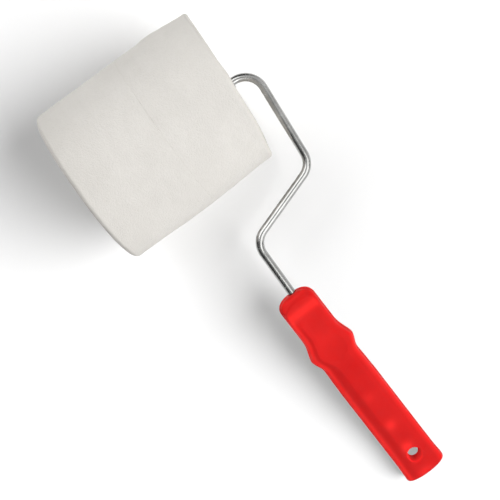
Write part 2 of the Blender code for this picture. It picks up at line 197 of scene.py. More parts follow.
# Runs of evenly spaced loops along the lobe, the wings and the grip: start, end and number
LOOP_RUNS = ((0.0066, 0.0255, 54), (0.0258, 0.0525, 84), (0.0532, HANDLE_LENGTH - EDGE_RADIUS - 0.0006, 110))
NOSE_ANGLES = range(5, 88, 4)
END_ANGLES = range(0, 90, 12)

# Relief of the handle's top: left is -X and right is +X

THUMB_REST_DEPTH = 0.0008
THUMB_REST_INSET = 0.0042
THUMB_REST_FULL = 0.0200
THUMB_REST_FADE = 0.0400
THUMB_REST_END = 0.0505
STEEP_WALL_SHARE = 0.75
FLANK_RISE = (0.015, 0.022)
FLANK_FADE = (0.108, 0.130)
RIGHT_FLANK_DEPTH = 0.0004
RIGHT_FLANK_WALL = (0.0040, 0.0062)
LEFT_FLANK_DEPTH = 0.0007
LEFT_FLANK_DEEPER = 0.0006
LEFT_FLANK_DEEPENING = (0.042, 0.054)
LEFT_FLANK_WALL = (0.0036, 0.0058)
LEFT_FLANK_BROADER = 0.0036
CHAMFER_EDGE = 0.0046
CHAMFER_BOW = 0.0024
CHAMFER_HALF_WIDTH = 0.0084
CHAMFER_DEPTH = 0.0006
CHAMFER_WALL = (-0.0006, 0.0003)

# Swellings along the grip: distance, height and strength of the painted highlight on each. Sizes are (along,
# across)
GRIP_SWELLINGS = ((0.0756, 0.0005, 0.30), (0.0967, 0.0008, 0.75), (0.1138, 0.0004, 0.95))
SWELLING_ACROSS = -0.0009
SWELLING_SIZE = (0.0042, 0.0046)
HIGHLIGHT_SPOT_SIZE = (0.0032, 0.0034)

# Painted highlights, painted light and painted shade of the handle: shares of full strength, and where they lie.
# Sizes are (along, across)

# Where highlights and light are painted on the top
FRONT_HIGHLIGHT = 0.10
FRONT_HIGHLIGHT_FADE = (0.044, 0.056)
NOSE_HIGHLIGHT = 0.45
NOSE_HIGHLIGHT_FADE = (0.0012, 0.0036)
RIDGE_HIGHLIGHT = 0.90
RIDGE_HIGHLIGHT_CENTRE = 0.0110
RIDGE_HIGHLIGHT_SIZE = 0.0027
RIDGE_HIGHLIGHT_INSET = (0.0008, 0.0030)
TAIL_HIGHLIGHT = 0.50
TAIL_HIGHLIGHT_CENTRE = 0.1318
TAIL_HIGHLIGHT_SIZE = (0.0026, 0.0052)
PALM_HIGHLIGHT = 0.18
PALM_HIGHLIGHT_CENTRE = 0.0320
PALM_HIGHLIGHT_SIZE = 0.0050
PALM_HIGHLIGHT_ACROSS = 0.001
PALM_HIGHLIGHT_EDGE = (0.003, 0.008)
FLANK_PAINTED_LIGHT_INSET = (0.0018, 0.0044)
FLANK_PAINTED_LIGHT_START = (0.008, 0.014)
LEFT_FLANK_PAINTED_LIGHT = 0.75
RIGHT_FLANK_PAINTED_LIGHT = 0.04
RIGHT_GRIP_PAINTED_LIGHT = 0.26
RIGHT_GRIP_PAINTED_LIGHT_START = (0.034, 0.044)
# Where shade is painted
SIDE_PAINTED_SHADE = 0.65
SIDE_PAINTED_SHADE_INSET = (0.0001, 0.0010)
CORNER_PAINTED_SHADE = 0.22
CORNER_PAINTED_SHADE_FADE = (0.004, 0.008)
CORNER_PAINTED_SHADE_ACROSS = (0.0060, 0.0085)
CREASE_PAINTED_SHADE = 0.12
CREASE_PAINTED_SHADE_START = (0.024, 0.028)
CREASE_PAINTED_SHADE_TAIL = (0.115, 0.125)
CREASE_PAINTED_SHADE_INSET = 0.0054
CREASE_PAINTED_SHADE_SIZE = 0.0020
TAIL_PAINTED_SHADE = 0.50
TAIL_PAINTED_SHADE_INSET = (0.0012, 0.0004)
MATT_LEVELS = (0.45, 0.92)

# Holes in the handle

HOLE_DISTANCE = 0.1203
HOLE_RADIUS = 0.0042
HOLE_UNDER_RADIUS = 0.0034
HOLE_CHAMFER = 0.0009
HOLE_STEPS = 64
HOLE_CUTTER_REACH = 0.009
HOLE_CUTTER_MARGIN = 0.0001
BORE_WALL = (0.0002, 0.0006)
SOCKET_MOUTH_RADIUS = 0.0034
SOCKET_RADIUS = WIRE_RADIUS + 0.00012
SOCKET_LEAD_IN = (0.0004, 0.0012)
SOCKET_DEPTH = 0.065
SOCKET_OVERSHOOT = 0.003
SOCKET_STEPS = 48

# Turned hardware

TURNED_STEPS = 96
TURNED_ROUNDING = 0.00015
PLUG_ROUNDING = 0.0002
PLUG_FLANGE = 0.0014
PLUG_FLANGE_STEP = 0.0018
PLUG_DEPTH = 0.0140
PLUG_POCKET = 0.0090
PLUG_WALL = 0.0014
RIB_COUNT = 6
RIB_INNER_GAP = 0.0010
RIB_OUTER_INSET = 0.0025
RIB_SINK = 0.0005
RIB_FOOT_HALF_WIDTH = 0.00072
RIB_CREST_HEIGHT = 0.0004
RUNNING_GAP = 0.00008
BUSH_RADIUS = WIRE_RADIUS + 0.00128
BUSH_FLANGE_RADIUS = 0.0050
BUSH_FLANGE = 0.0010
BUSH_LENGTH = 0.0118
BUSH_RECESS = 0.0011
WASHER_RADIUS = 0.0046
WASHER_THICKNESS = 0.0007
COLLAR_GAP = 0.00005
CAP_WALL = 0.0012
CAP_DOME_RADIUS = 0.0020
CAP_RIM_RADIUS = 0.0050

# Top of a rib, seen along it: (along the axle, sideways)
RIB_CREST = ((0.0, 0.0006), (0.0003, 0.0004), (0.0004, 0.0), (0.0003, -0.0004), (0.0, -0.0006))

# The cap's flared rim: (away from its open end, radius)
CAP_FLARE = ((0.0, CAP_RIM_RADIUS), (0.0005, CAP_RIM_RADIUS), (0.0009, 0.0041))
CAP_FLARE_END = 0.0016

# Colours, as linear red, green and blue: a pair is the darker and the lighter tone

FOAM_TONES = ((0.594, 0.575, 0.544), (0.634, 0.615, 0.584))
FOAM_MOTTLE = (0.575, 0.555, 0.520)
FOAM_PORE = (0.545, 0.522, 0.485)
FOAM_GRAIN = (0.70, 0.682, 0.652)
# Darker foam painted at both rims for dirt and painted shade, and toward the free end
FOAM_DIRT_AND_SHADE = (0.500, 0.480, 0.449)
RED_TONES = ((0.545, 0.0142, 0.0143), (0.585, 0.0164, 0.0158))
RED_RUBBED = (0.66, 0.022, 0.020)
# Lighter red painted on as highlights and light
RED_PAINTED_HIGHLIGHT = (0.88, 0.034, 0.030)
# Darker red painted on as shade
RED_PAINTED_SHADE = (0.28, 0.007, 0.008)
# Lighter red painted on the hanging hole's wall as if lit
RED_PAINTED_LIT_BORE = (0.92, 0.020, 0.020)
STEEL_TONES = ((0.36, 0.36, 0.352), (0.495, 0.495, 0.484))
STEEL_SPOTTED = (0.27, 0.27, 0.264)
BRONZE_TONES = ((0.34, 0.21, 0.10), (0.58, 0.39, 0.20))
PLUG_TONES = ((0.58, 0.58, 0.56), (0.66, 0.66, 0.64))
CORE_TONES = ((0.52, 0.53, 0.52), (0.62, 0.63, 0.62))
NYLON_TONES = ((0.70, 0.69, 0.64), (0.80, 0.79, 0.74))

# Roughness of the plating: where it is cleanest and where it is haziest
STEEL_ROUGHNESS = (0.16, 0.28)

# Studio: azimuth, elevation and width in degrees, and strength

KEY_LIGHT = (-40.0, 41.0, 50.0, 4.06)
FILL_LIGHT = (114.0, 30.0, 66.0, 2.18)

# World: height on the ramp from the ground to straight up, and tone
WORLD_HORIZON = (0.15, 0.10)
WORLD_OVERHEAD = (0.85, 0.06)

# Cards that only glossy surfaces show: azimuth, elevation, width and height in degrees, and radiance

CARD_DISTANCE = 1.2
CARDS = {
    "card_near": (-69.0, 42.0, 40.0, 52.0, 2.2),
    "card_bend": (-112.0, 40.0, 36.0, 34.0, 2.2),
    "card_far": (111.0, 62.0, 44.0, 38.0, 2.6),
    "card_side": (-2.0, 40.0, 60.0, 60.0, 0.75),
    "card_overhead": (-35.0, 88.0, 34.0, 34.0, 0.40),
}

# Floor

FLOOR_TONE = 0.87
FLOOR_TONE_CHANGE = 0.01
FLOOR_HALF_SIZE = 30.0
FLOOR_GAP = 0.0002

# Camera: places from the axle, height above the floor, and turns in degrees

CAMERA_ACROSS = 0.0419
CAMERA_BACK = 0.1100
CAMERA_HEIGHT = 0.7221
CAMERA_TURN = -35.505
CAMERA_TILT = 3.949
CAMERA_LENS = 86.4
CAMERA_SENSOR = 36.0
CAMERA_CLIP = (0.01, 20.0)


# Small tools


def smooth_step(value, low, high):
    share = min(max((value - low) / (high - low), 0.0), 1.0)
    return share * share * (3.0 - 2.0 * share)


def hill(value, centre, width):
    return exp(-(((value - centre) / width) ** 2))


def blend(first, last, share):
    return first + (last - first) * share


def arc(centre, radius, start, end, steps):
    """Points on an arc, with angles in degrees from the first axis."""
    points = []
    for index in range(steps + 1):
        angle = radians(start + (end - start) * index / steps)
        points.append((centre[0] + radius * cos(angle), centre[1] + radius * sin(angle)))
    return points


def spaced(start, end, steps):
    return [start + (end - start) * index / steps for index in range(steps + 1)]


def plane_matrix():
    """From (across, -reach, height) to the row frame."""
    across = Vector((1.0, 0.0, 0.0))
    matrix = Matrix((across, PLANE_NORMAL.cross(across), PLANE_NORMAL)).transposed().to_4x4()
    return Matrix.Translation(AXLE) @ matrix


def handle_matrix():
    """From (across, -distance, height) of the handle to the row frame."""
    front = Matrix.Translation((HANDLE_FRONT[0], -HANDLE_FRONT[1], 0.0))
    return plane_matrix() @ front @ Matrix.Rotation(HANDLE_YAW, 4, "Z")


def new_object(name, mesh_data):
    mesh = bpy.data.meshes.new(name)
    mesh_data.to_mesh(mesh)
    mesh_data.free()
    made = bpy.data.objects.new(name, mesh)
    bpy.context.collection.objects.link(made)
    return made


def smooth(piece, sharp_angle):
    """Shade smooth, but for edges that turn by more than the angle in degrees."""
    piece.data.shade_smooth()
    piece.data.set_sharp_from_angle(angle=radians(sharp_angle))


def add_piece(name, mesh_data, material, body, replaced, sharp_angle=40):
    """A visible piece that rides on a body and stands for the replaced CAD nodes."""
    bmesh.ops.remove_doubles(mesh_data, verts=mesh_data.verts, dist=1e-7)
    bmesh.ops.recalc_face_normals(mesh_data, faces=mesh_data.faces)
    piece = new_object(name, mesh_data)
    smooth(piece, sharp_angle)
    piece.data.materials.append(material)
    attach(piece, body)
    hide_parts(*replaced)
    return piece


def bridge(mesh_data, ring, following):
    """Faces between two closed rings, one of which may be a single point."""
    count = max(len(ring), len(following))
    for index in range(count):
        after = (index + 1) % count
        corners = [ring[index % len(ring)], ring[after % len(ring)]]
        corners += [following[after % len(following)], following[index % len(following)]]
        mesh_data.faces.new(list(dict.fromkeys(corners)))


def turned(profile, steps):
    """Skin of a closed (across, radius) outline turned about the axle."""
    mesh_data = bmesh.new()
    rings = []
    for x, radius in profile:
        if radius <= 0.0:
            rings.append([mesh_data.verts.new(AXLE + Vector((x, 0.0, 0.0)))])
            continue
        ring = []
        for step in range(steps):
            angle = 2 * pi * step / steps
            ring.append(mesh_data.verts.new(AXLE + Vector((x, radius * sin(angle), radius * cos(angle)))))
        rings.append(ring)
    for ring, following in zip(rings, rings[1:] + rings[:1]):
        if len(ring) + len(following) > 2:
            bridge(mesh_data, ring, following)
    return mesh_data


def skin(loops):
    """Skin through closed loops with a ladder of faces over each end."""
    mesh_data = bmesh.new()
    rings = [[mesh_data.verts.new(point) for point in loop] for loop in loops]
    count = len(rings[0])
    for ring, following in zip(rings, rings[1:]):
        bridge(mesh_data, ring, following)
    for ring in (rings[0], rings[-1]):
        for index in range(count // 2 - 1):
            opposite = count - 1 - index
            mesh_data.faces.new((ring[index], ring[index + 1], ring[opposite - 1], ring[opposite]))
    return mesh_data


# Materials


class Nodes:
    """A Principled material under construction."""

    def __init__(self, name, roughness, metallic=0.0):
        self.material = bpy.data.materials.new(name)
        self.material.use_nodes = True
        self.tree = self.material.node_tree
        self.shader = self.tree.nodes["Principled BSDF"]
        self.shader.inputs["Roughness"].default_value = roughness
        self.shader.inputs["Metallic"].default_value = metallic
        self.place = self.tree.nodes.new("ShaderNodeTexCoord").outputs["Object"]

    def link(self, output, target):
        self.tree.links.new(output, target)

    def noise(self, scale, detail, roughness=0.55, stretch=None):
        """Noise at a scale per metre. A stretch is a rotation and a scale of its own along each axis."""
        texture = self.tree.nodes.new("ShaderNodeTexNoise")
        texture.inputs["Scale"].default_value = scale
        texture.inputs["Detail"].default_value = detail
        texture.inputs["Roughness"].default_value = roughness
        source = self.place
        if stretch is not None:
            mapping = self.tree.nodes.new("ShaderNodeMapping")
            mapping.inputs["Rotation"].default_value = stretch[0]
            mapping.inputs["Scale"].default_value = stretch[1]
            self.link(self.place, mapping.inputs["Vector"])
            source = mapping.outputs["Vector"]
        self.link(source, texture.inputs["Vector"])
        return texture.outputs["Fac"]

    def cells(self, scale):
        texture = self.tree.nodes.new("ShaderNodeTexVoronoi")
        texture.inputs["Scale"].default_value = scale
        self.link(self.place, texture.inputs["Vector"])
        return texture.outputs["Distance"]

    def remap(self, value, low, high, to_low, to_high):
        node = self.tree.nodes.new("ShaderNodeMapRange")
        for key, number in zip(("From Min", "From Max", "To Min", "To Max"), (low, high, to_low, to_high)):
            node.inputs[key].default_value = number
        self.link(value, node.inputs["Value"])
        return node.outputs["Result"]

    def add(self, first, second):
        node = self.tree.nodes.new("ShaderNodeMath")
        node.operation = "ADD"
        self.link(first, node.inputs[0])
        self.link(second, node.inputs[1])
        return node.outputs["Value"]

    def tones(self, value, low, high, tones):
        """A ramp from the first tone at the low value to the second tone at the high value."""
        node = self.tree.nodes.new("ShaderNodeValToRGB")
        for element, position, tone in zip(node.color_ramp.elements, (low, high), tones):
            element.position = position
            element.color = (*tone, 1.0)
        self.link(value, node.inputs["Fac"])
        return node.outputs["Color"]

    def mix(self, share, colour, other):
        """Blend a colour toward a plain other one by a share."""
        node = self.tree.nodes.new("ShaderNodeMix")
        node.data_type = "RGBA"
        first, second = (socket for socket in node.inputs if socket.type == "RGBA")
        second.default_value = (*other, 1.0)
        self.link(share, node.inputs["Factor"])
        self.link(colour, first)
        return next(socket for socket in node.outputs if socket.type == "RGBA")

    def attribute(self, name):
        node = self.tree.nodes.new("ShaderNodeAttribute")
        node.attribute_name = name
        return node.outputs["Fac"]

    def edges(self):
        return self.tree.nodes.new("ShaderNodeNewGeometry").outputs["Pointiness"]

    def bump(self, height, distance, strength, onto=None):
        node = self.tree.nodes.new("ShaderNodeBump")
        node.inputs["Strength"].default_value = strength
        node.inputs["Distance"].default_value = distance
        self.link(height, node.inputs["Height"])
        if onto is not None:
            self.link(onto, node.inputs["Normal"])
        return node.outputs["Normal"]

    def finish(self, colour, roughness=None, normal=None, values=None):
        """Link what varies over the surface, and set what doesn't on the shader itself."""
        for key, output in (("Base Color", colour), ("Roughness", roughness), ("Normal", normal)):
            if output is not None:
                self.link(output, self.shader.inputs[key])
        for key, value in (values or {}).items():
            self.shader.inputs[key].default_value = value
        return self.material


def foam_material():
    """Fine open-cell foam: pores, a faint grain and slow patches of tone."""
    nodes = Nodes("foam_cream", 0.92)
    patches = nodes.noise(38.0, 3.0)
    mottle = nodes.noise(330.0, 3.0, 0.6)
    grain = nodes.noise(900.0, 5.0, 0.65)
    pores = nodes.cells(1300.0)
    fine = nodes.cells(2600.0)
    colour = nodes.tones(patches, 0.30, 0.70, FOAM_TONES)
    colour = nodes.mix(nodes.remap(mottle, 0.42, 0.70, 0.0, 0.30), colour, FOAM_MOTTLE)
    colour = nodes.mix(nodes.remap(pores, 0.05, 0.55, 0.0, 0.22), colour, FOAM_PORE)
    colour = nodes.mix(nodes.remap(grain, 0.35, 0.75, 0.0, 0.22), colour, FOAM_GRAIN)
    # Painted darker at both rims for dirt and painted shade, and toward the free end
    colour = nodes.mix(nodes.attribute("rim"), colour, FOAM_DIRT_AND_SHADE)
    rough = nodes.remap(grain, 0.3, 0.7, 0.86, 0.98)
    normal = nodes.bump(patches, 0.0010, 0.4)
    normal = nodes.bump(mottle, 0.00040, 0.25, normal)
    normal = nodes.bump(grain, 0.00030, 0.38, normal)
    normal = nodes.bump(pores, 0.00022, 0.45, normal)
    normal = nodes.bump(fine, 0.00010, 0.4, normal)
    return nodes.finish(colour, rough, normal, {"Specular IOR Level": 0.15})


def red_plastic_material():
    """Moulded plastic with a faint orange-peel skin, rubbed edges, painted highlights, painted shade, painted
    light on the hole's wall, and scuffs.
    """
    nodes = Nodes("plastic_red", 0.34)
    clouds = nodes.noise(60.0, 3.0)
    skin_grain = nodes.noise(1500.0, 3.0)
    peel = nodes.noise(320.0, 2.0)
    scuffs = nodes.noise(260.0, 6.0, 0.7, ((0.0, 0.2, 0.5), (0.12, 1.0, 1.0)))
    rough_lit_bore = nodes.attribute("rough_lit_bore")
    colour = nodes.tones(clouds, 0.25, 0.75, RED_TONES)
    colour = nodes.mix(nodes.remap(nodes.edges(), 0.52, 0.62, 0.0, 0.35), colour, RED_RUBBED)
    # Painted highlights and painted light: a lighter red on the nose, ridge, swellings, tail and flanks
    colour = nodes.mix(nodes.attribute("painted_highlight"), colour, RED_PAINTED_HIGHLIGHT)
    # Painted shade: a darker red on a side wall, the nose corner, a crease and the tail's edge
    colour = nodes.mix(nodes.attribute("painted_shade"), colour, RED_PAINTED_SHADE)
    # Painted light: a lighter red on the hanging hole's wall
    colour = nodes.mix(rough_lit_bore, colour, RED_PAINTED_LIT_BORE)
    rough = nodes.remap(clouds, 0.3, 0.7, 0.26, 0.34)
    rough = nodes.add(rough, nodes.remap(scuffs, 0.58, 0.72, 0.0, 0.14))
    for matt_place in (nodes.attribute("matt"), rough_lit_bore):
        rough = nodes.add(rough, nodes.remap(matt_place, 0.0, 1.0, 0.0, 0.6))
    normal = nodes.bump(peel, 0.00012, 0.35)
    normal = nodes.bump(skin_grain, 0.00003, 0.5, normal)
    uniform_values = {
        "Specular IOR Level": 0.10,
        "Specular Tint": (1.0, 0.06, 0.06, 1.0),
        "Subsurface Weight": 0.6,
        "Subsurface Radius": (1.0, 0.04, 0.04),
        "Subsurface Scale": 0.004,
        "Sheen Weight": 0.8,
        "Sheen Roughness": 0.25,
        "Sheen Tint": (1.0, 0.01, 0.01, 1.0),
    }
    return nodes.finish(colour, rough, normal, uniform_values)


def steel_material():
    """Bright plating over drawn wire: thin haze, faint draw lines and small dull spots."""
    nodes = Nodes("steel_plated", STEEL_ROUGHNESS[0], 1.0)
    haze = nodes.noise(120.0, 4.0)
    lines = nodes.noise(700.0, 5.0, 0.6, ((0.0, 0.0, 0.35), (1.0, 0.15, 1.0)))
    spots = nodes.noise(480.0, 2.0)
    colour = nodes.tones(haze, 0.3, 0.7, STEEL_TONES)
    colour = nodes.mix(nodes.remap(spots, 0.66, 0.80, 0.0, 0.18), colour, STEEL_SPOTTED)
    rough = nodes.remap(haze, 0.3, 0.7, *STEEL_ROUGHNESS)
    rough = nodes.add(rough, nodes.remap(spots, 0.62, 0.80, 0.0, 0.08))
    return nodes.finish(colour, rough, nodes.bump(lines, 0.00004, 0.18))


def plain_plastic_material(name, tones, roughness):
    """Natural moulded plastic with slow tone changes and a fine matt grain."""
    nodes = Nodes(name, roughness)
    clouds = nodes.noise(90.0, 3.0)
    grain = nodes.noise(1400.0, 3.0)
    colour = nodes.tones(clouds, 0.3, 0.7, tones)
    rough = nodes.remap(clouds, 0.3, 0.7, roughness - 0.06, roughness + 0.08)
    normal = nodes.bump(grain, 0.00004, 0.5)
    return nodes.finish(colour, rough, normal, {"Subsurface Weight": 0.05, "Subsurface Scale": 0.001})


def bronze_material():
    """Sintered bronze: fine pits and darker oiled patches."""
    nodes = Nodes("bronze_sintered", 0.42, 1.0)
    patches = nodes.noise(200.0, 4.0)
    pits = nodes.cells(3200.0)
    colour = nodes.tones(patches, 0.3, 0.7, BRONZE_TONES)
    rough = nodes.remap(patches, 0.3, 0.7, 0.34, 0.5)
    return nodes.finish(colour, rough, nodes.bump(pits, 0.00005, 0.6))


# Foam


def foam_shape(x, radius, angle):
    """Where a point of the plain roller ends up on the soft one. Angle 0 is up, positive toward +Y."""
    rim = smooth_step(radius, 0.5 * FOAM_RADIUS, FOAM_RADIUS)
    far = sin(angle)
    near = smooth_step(-far, *NEAR_SIDE)
    moved_x = x + end_shift(x, radius, far, near * rim, rim)
    return moved_x, radius + skin_push(x, radius, angle, near) * rim


def end_shift(x, radius, far, near_rim, rim):
    """How far a point shifts along the axle: the end faces are skewed, uneven and slightly domed."""
    drive = smooth_step(x, 0.0, DRIVE_END)
    free = smooth_step(-x, 0.0, -FREE_END)
    shift = END_SKEW * drive * (radius / FOAM_RADIUS) * far
    shift -= (FREE_SHRINK + FREE_NEAR_SHRINK * near_rim) * free
    uneven = DRIVE_BULGE * hill(far, *DRIVE_BULGE_HILL) - DRIVE_HOLLOW * hill(far, *DRIVE_HOLLOW_HILL)
    shift += drive * rim * uneven
    shift -= drive * rim * DRIVE_CORNER_SHRINK * smooth_step(-far, *DRIVE_CORNER)
    face = smooth_step(abs(x), 0.0, abs(FREE_END)) ** FACE_CROWN_POWER
    crown = FACE_CROWN * face * sin(pi * min(1.0, radius / FOAM_RADIUS))
    return shift + (crown if x > 0 else -crown)


def skin_push(x, radius, angle, near):
    """How far the skin swells: waves, a bulge and a sag on the far side, a swollen near side, dents."""
    far = sin(angle)
    degrees = angle * 180.0 / pi
    point = Vector((x, radius * far, radius * cos(angle)))
    push = 0.0
    for frequency, shift, height in SKIN_WAVES:
        push += height * noise.noise(point * frequency + Vector((shift, 0.0, 0.0)))
    bulge = smooth_step(x, *FAR_BULGE_RISE) * (1.0 - smooth_step(x, *FAR_BULGE_FALL))
    push += FAR_BULGE * bulge * hill(degrees, *FAR_BULGE_HILL)
    push -= FAR_SAG * smooth_step(x, FAR_SAG_START, DRIVE_END) * smooth_step(far, 0.0, 1.0)
    push += near * (NEAR_SWELLING - NEAR_SAG * smooth_step(x, NEAR_SAG_START, DRIVE_END))
    for place, half_length, turn, spread, depth in SKIN_DENTS:
        push -= depth * hill(x, place, half_length) * hill(degrees, turn, spread)
    return push


def rim_dirt_and_shade(x):
    """How much darker the foam is painted: for dirt and painted shade most at both rims, and a darkening that
    fades in over the free end.
    """
    if x > 0.0:
        start, full = (DRIVE_END - inset for inset in DRIVE_RIM_DIRT_AND_SHADE)
        return smooth_step(x, start, full)
    start, full = (-FREE_END - inset for inset in FREE_RIM_DIRT_AND_SHADE)
    return FREE_END_DARKENING_SHARE * smooth_step(-x, *FREE_END_DARKENING) + FREE_RIM_SHARE * smooth_step(-x, start, full)


def foam_outline(end_x):
    """Outline of one ring, fine along its skin: bore, joint face, skin, rounded rim, end face."""
    side = 1 if end_x > JOINT_X else -1
    edge = DRIVE_EDGE_RADIUS if side > 0 else FREE_EDGE_RADIUS
    bore = CORE_RADIUS + GAP
    joint = JOINT_X + side * FOAM_JOINT_GAP
    length = abs(end_x - joint)
    skin_end = length - edge
    steps = int(length / SKIN_SPACING)
    joint_edge = FOAM_RADIUS - FOAM_JOINT_RADIUS
    outline = [(0.0, bore), (0.0, JOINT_FACE_SHARE * FOAM_RADIUS)]
    outline += arc((FOAM_JOINT_RADIUS, joint_edge), FOAM_JOINT_RADIUS, 180, 90, 6)
    for along in spaced(FOAM_JOINT_RADIUS + SKIN_MARGIN, skin_end - SKIN_MARGIN, steps):
        outline.append((along, FOAM_RADIUS))
    outline += arc((skin_end, FOAM_RADIUS - edge), edge, 90, 0, 10)
    for radius in spaced(FOAM_RADIUS - edge - FACE_MARGIN, bore + BORE_LIP, FACE_STEPS):
        outline.append((length, radius))
    outline += [(length - BORE_LIP / 2, bore + BORE_LIP / 6), (length - 2 * BORE_LIP, bore)]
    return [(joint + side * along, radius) for along, radius in outline]


def add_foam(name, end_x, material):
    mesh_data = turned(foam_outline(end_x), FOAM_STEPS)
    rim = mesh_data.verts.layers.float.new("rim")
    for vertex in mesh_data.verts:
        local = vertex.co - AXLE
        # Darkening painted at the rims for dirt and painted shade, and toward the free end
        vertex[rim] = rim_dirt_and_shade(local.x)
        radius = (local.y ** 2 + local.z ** 2) ** 0.5
        angle = atan2(local.y, local.z)
        x, moved = foam_shape(local.x, radius, angle)
        vertex.co = AXLE + Vector((x, moved * sin(angle), moved * cos(angle)))
    piece = add_piece(name + "_soft", mesh_data, material, "roller", (name,), 60)


# Handle


def nose_share(distance, length):
    if distance >= length:
        return 1.0
    return (1.0 - (1.0 - distance / length) ** NOSE_SHARPNESS) ** (1.0 / NOSE_SHARPNESS)


def handle_half_width(distance):
    width = blend(LOBE_HALF_WIDTH, TAIL_HALF_WIDTH, smooth_step(distance, *WIDENING))
    width += TAIL_FLARE * smooth_step(distance, TAIL_FLARE_START, HANDLE_LENGTH)
    rise = smooth_step(distance, WING_START, WING_PEAK + WING_PEAK_MARGIN)
    fall = 1.0 - smooth_step(distance, WING_PEAK - WING_PEAK_MARGIN, WING_END)
    width += WING_HEIGHT * rise ** WING_RISE_POWER * fall
    return width * nose_share(distance, NOSE_LENGTH)


def tail_thinning(distance):
    return (TAIL_HALF_THICKNESS - GRIP_HALF_THICKNESS) * smooth_step(distance, *THINNING)


def handle_top(distance):
    height = blend(NOSE_HALF_THICKNESS, RIDGE_HALF_THICKNESS, smooth_step(distance, RIDGE_START, RIDGE_PEAK))
    height += (GRIP_HALF_THICKNESS - RIDGE_HALF_THICKNESS) * smooth_step(distance, RIDGE_PEAK, WING_END)
    return (height + tail_thinning(distance)) * nose_share(distance, NOSE_ROUNDING)


def handle_bottom(distance):
    height = blend(NOSE_HALF_THICKNESS, GRIP_HALF_THICKNESS, smooth_step(distance, 0.0, WING_PEAK))
    return -(height + tail_thinning(distance)) * nose_share(distance, NOSE_ROUNDING)


def crease_position(across, distance, half_width):
    """0 at the middle of the thumb rest and 1 at the crease around it, which closes in a rounded V."""
    closing = smooth_step(distance, WING_PEAK - WING_PEAK_MARGIN, THUMB_REST_END)
    reach = (half_width - THUMB_REST_INSET) * (1.0 - closing ** 2) + 1e-6
    return abs(across) / reach


def thumb_rest(across, distance, half_width):
    """Depth of the dished thumb rest, whose wall is steeper on the -X side."""
    inside = crease_position(across, distance, half_width)
    if distance <= RIDGE_PEAK or distance >= THUMB_REST_END or inside >= 1.0:
        return 0.0
    entry = smooth_step(distance, RIDGE_PEAK, THUMB_REST_FULL)
    leave = 1.0 - smooth_step(distance, THUMB_REST_FADE, THUMB_REST_END)
    wall = smooth_step(1.0 - inside, 0.0, STEEP_WALL_SHARE) if across < 0.0 else 1.0 - inside ** 2
    return THUMB_REST_DEPTH * entry * leave * wall


def flank_step(across, distance, half_width):
    """A low step along both flanks of the top, deeper on the -X side and broader along the grip."""
    inset = half_width - abs(across)
    run = smooth_step(distance, *FLANK_RISE) * (1.0 - smooth_step(distance, *FLANK_FADE))
    if across >= 0.0:
        return RIGHT_FLANK_DEPTH * run * (1.0 - smooth_step(inset, *RIGHT_FLANK_WALL))
    grip = smooth_step(distance, *LEFT_FLANK_DEEPENING)
    foot, crest = LEFT_FLANK_WALL
    wall = 1.0 - smooth_step(inset, foot, crest + LEFT_FLANK_BROADER * grip)
    return (LEFT_FLANK_DEPTH + LEFT_FLANK_DEEPER * grip) * run * wall


def nose_chamfer(across, distance):
    """The step down to the front face, with a curved edge."""
    edge = CHAMFER_EDGE + CHAMFER_BOW * (across / CHAMFER_HALF_WIDTH) ** 2
    return CHAMFER_DEPTH * (1.0 - smooth_step(distance - edge, *CHAMFER_WALL))


def grip_swellings(across, distance):
    """Low rounded swellings along the top of the grip, and one ahead of the hanging hole."""
    length, width = SWELLING_SIZE
    profile = hill(across, SWELLING_ACROSS, width)
    return sum(height * hill(distance, centre, length) * profile for centre, height, _ in GRIP_SWELLINGS)


def highlight_spots(across, distance):
    """The painted highlights on the swellings, and at the very end of the tail."""
    length, width = HIGHLIGHT_SPOT_SIZE
    profile = hill(across, SWELLING_ACROSS, width)
    spots = sum(spot_highlight * hill(distance, centre, length) * profile for centre, _, spot_highlight in GRIP_SWELLINGS)
    length, width = TAIL_HIGHLIGHT_SIZE
    tail = hill(distance, TAIL_HIGHLIGHT_CENTRE, length) * hill(across, SWELLING_ACROSS, width)
    return spots + TAIL_HIGHLIGHT * tail


def painted_highlight_share(across, distance):
    """Where highlights and light are painted onto the top: its nose, ridge and swellings, and its outer flanks."""
    inset = handle_half_width(distance) - abs(across)
    front = FRONT_HIGHLIGHT + NOSE_HIGHLIGHT * (1.0 - smooth_step(distance, *NOSE_HIGHLIGHT_FADE))
    front *= 1.0 - smooth_step(distance, *FRONT_HIGHLIGHT_FADE)
    ridge = RIDGE_HIGHLIGHT * hill(distance, RIDGE_HIGHLIGHT_CENTRE, RIDGE_HIGHLIGHT_SIZE)
    ridge *= smooth_step(inset, *RIDGE_HIGHLIGHT_INSET)
    palm = PALM_HIGHLIGHT * hill(distance, PALM_HIGHLIGHT_CENTRE, PALM_HIGHLIGHT_SIZE)
    palm *= 1.0 - smooth_step(abs(across - PALM_HIGHLIGHT_ACROSS), *PALM_HIGHLIGHT_EDGE)
    flank = (1.0 - smooth_step(inset, *FLANK_PAINTED_LIGHT_INSET)) * smooth_step(distance, *FLANK_PAINTED_LIGHT_START)
    if across < 0.0:
        flank *= LEFT_FLANK_PAINTED_LIGHT
    else:
        flank *= RIGHT_FLANK_PAINTED_LIGHT + RIGHT_GRIP_PAINTED_LIGHT * smooth_step(distance, *RIGHT_GRIP_PAINTED_LIGHT_START)
    return min(1.0, front + ridge + highlight_spots(across, distance) + palm + flank)


